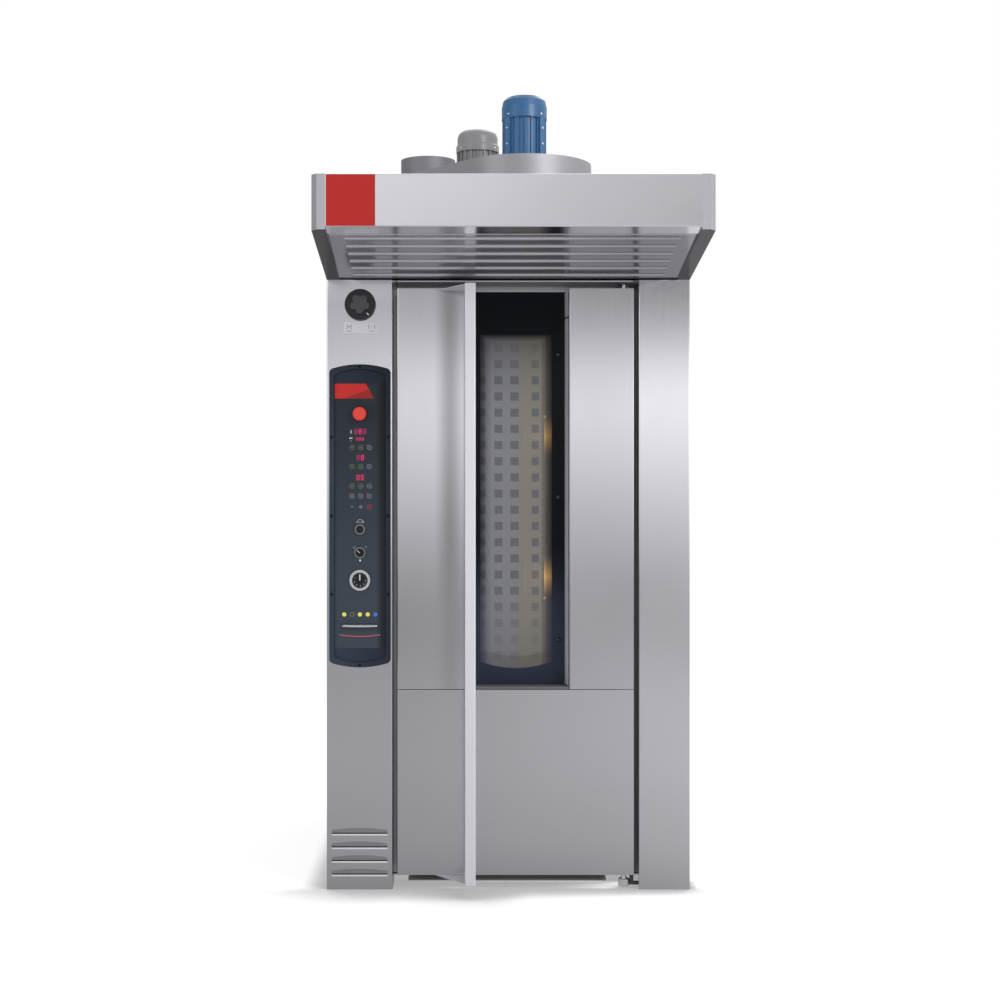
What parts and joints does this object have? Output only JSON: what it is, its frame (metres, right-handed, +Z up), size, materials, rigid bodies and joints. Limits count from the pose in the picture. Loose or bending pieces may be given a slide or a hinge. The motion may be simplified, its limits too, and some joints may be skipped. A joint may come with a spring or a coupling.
{
  "type": "rotating rack oven",
  "caption": "Upright bakery oven that turns a hanging tray rack, with a full-height hinged glass door, steam hood, roof extractor and a control column.",
  "frame": {"origin": "on the floor under the rack's turning axis, centred on the cabinet's width", "axes": "+X to the right of someone facing the door, +Y to the back, +Z up"},
  "size_m": [1.2, 2.269, 2.647],
  "materials": {
    "stainless": "satin, vertical grain",
    "mirror_steel": "bright rolled",
    "galvanised": "galvanised sheet",
    "insulation_wool": "mineral wool",
    "blue_paint": "semi-gloss",
    "grey_paint": "semi-gloss",
    "wheel_steel": "machined",
    "heat_steel": "heat darkened",
    "black_steel": "satin",
    "chrome": "polished",
    "bezel_plastic": "fine texture",
    "membrane": "satin film",
    "black_plastic": "moulded",
    "screw_steel": "plain",
    "red_plastic": "moulded",
    "door_glass": "toughened",
    "lamp_glass": "halogen lamp",
    "seal_rubber": "silicone"
  },
  "bodies": {
    "cabinet": {"left_column_casing": "stainless", "right_column_casing": "stainless", "side_panels": "stainless", "rear_panel": "stainless", "roof_panel": "stainless", "front_frame": "stainless", "hood_cheeks": "stainless", "hood_fascia": "stainless", "hood_top_plate": "stainless", "chamber_walls": "stainless", "chamber_ceiling": "stainless", "chamber_floor": "stainless", "air_diffuser": "stainless", "flue_stub": "stainless", "hood_baffle": "mirror_steel", "base_pan": "galvanised", "extractor_housing": "galvanised", "exhaust_collar": "galvanised", "gear_case": "galvanised", "insulation": "insulation_wool", "extractor_motor": "blue_paint", "extractor_cowl": "blue_paint", "gearmotor": "grey_paint", "gearmotor_cowl": "grey_paint", "circulation_motor": "grey_paint", "rack_bearing": "wheel_steel", "heater_bank": "heat_steel", "steam_cascade": "heat_steel", "pivot_brackets": "black_steel", "hinge_pins": "chrome", "panel_grip": "chrome", "control_rings": "chrome", "control_bezel": "bezel_plastic", "control_membrane": "membrane", "bezel_screws": "screw_steel", "door_gasket": "seal_rubber"},
    "door": {"door_left_panel": "stainless", "door_right_panel": "stainless", "door_lower_panel": "stainless", "door_handle": "stainless", "door_inner_pan": "stainless", "door_insulation": "insulation_wool", "door_glass_outer": "door_glass", "door_glass_inner": "door_glass", "glass_nuts": "black_plastic", "door_lamps": "lamp_glass", "door_sweep": "seal_rubber", "hinge_bushes": "chrome"},
    "rack_drive": {"rack_shaft": "wheel_steel", "rack_wheel": "wheel_steel", "rack_hook": "wheel_steel"},
    "pinion": {"drive_pinion": "wheel_steel"},
    "circulation": {"circulation_fan": "wheel_steel"},
    "extractor": {"extractor_impeller": "wheel_steel"},
    "damper": {"damper_knob": "black_plastic", "damper_shaft": "wheel_steel"},
    "estop": {"estop_button": "red_plastic"},
    "start": {"start_button": "black_plastic"},
    "selector": {"selector_knob": "black_plastic"},
    "timer": {"timer_dial": "black_plastic"}
  },
  "joints": [
    {"name": "door_hinge", "type": "hinge", "parent": "cabinet", "child": "door", "pos_m": [0.384, -0.592, 1], "axis": [0, 0, 1], "range_deg": [0, 110]},
    {"name": "rack_spin", "type": "hinge", "parent": "cabinet", "child": "rack_drive", "pos_m": [0, 0, 1.9], "axis": [0, 0, 1], "continuous": true},
    {"name": "pinion_spin", "type": "hinge", "parent": "cabinet", "child": "pinion", "pos_m": [-0.096, 0, 2.06], "axis": [0, 0, 1], "continuous": true},
    {"name": "circulation_spin", "type": "hinge", "parent": "cabinet", "child": "circulation", "pos_m": [0, 0.7, 1.75], "axis": [0, 0, 1], "continuous": true},
    {"name": "extractor_spin", "type": "hinge", "parent": "cabinet", "child": "extractor", "pos_m": [0.057, -0.5, 2.31], "axis": [0, 0, 1], "continuous": true},
    {"name": "damper_turn", "type": "hinge", "parent": "cabinet", "child": "damper", "pos_m": [-0.489, -0.63, 1.932], "axis": [0, 1, 0], "range_deg": [0, 90]},
    {"name": "estop_push", "type": "slide", "parent": "cabinet", "child": "estop", "axis": [0, 1, 0], "range_m": [0, 0.005], "stiffness_N_per_m": 2000},
    {"name": "start_push", "type": "slide", "parent": "cabinet", "child": "start", "axis": [0, 1, 0], "range_m": [0, 0.004], "stiffness_N_per_m": 800},
    {"name": "selector_turn", "type": "hinge", "parent": "cabinet", "child": "selector", "pos_m": [-0.49, -0.63, 1.113], "axis": [0, 1, 0], "range_deg": [0, 90]},
    {"name": "timer_turn", "type": "hinge", "parent": "cabinet", "child": "timer", "pos_m": [-0.49, -0.63, 1.022], "axis": [0, 1, 0], "range_deg": [0, 300]}
  ],
  "couplings": [
    {"joint": "pinion_spin", "follows": "rack_spin", "ratio": -3}
  ]
}
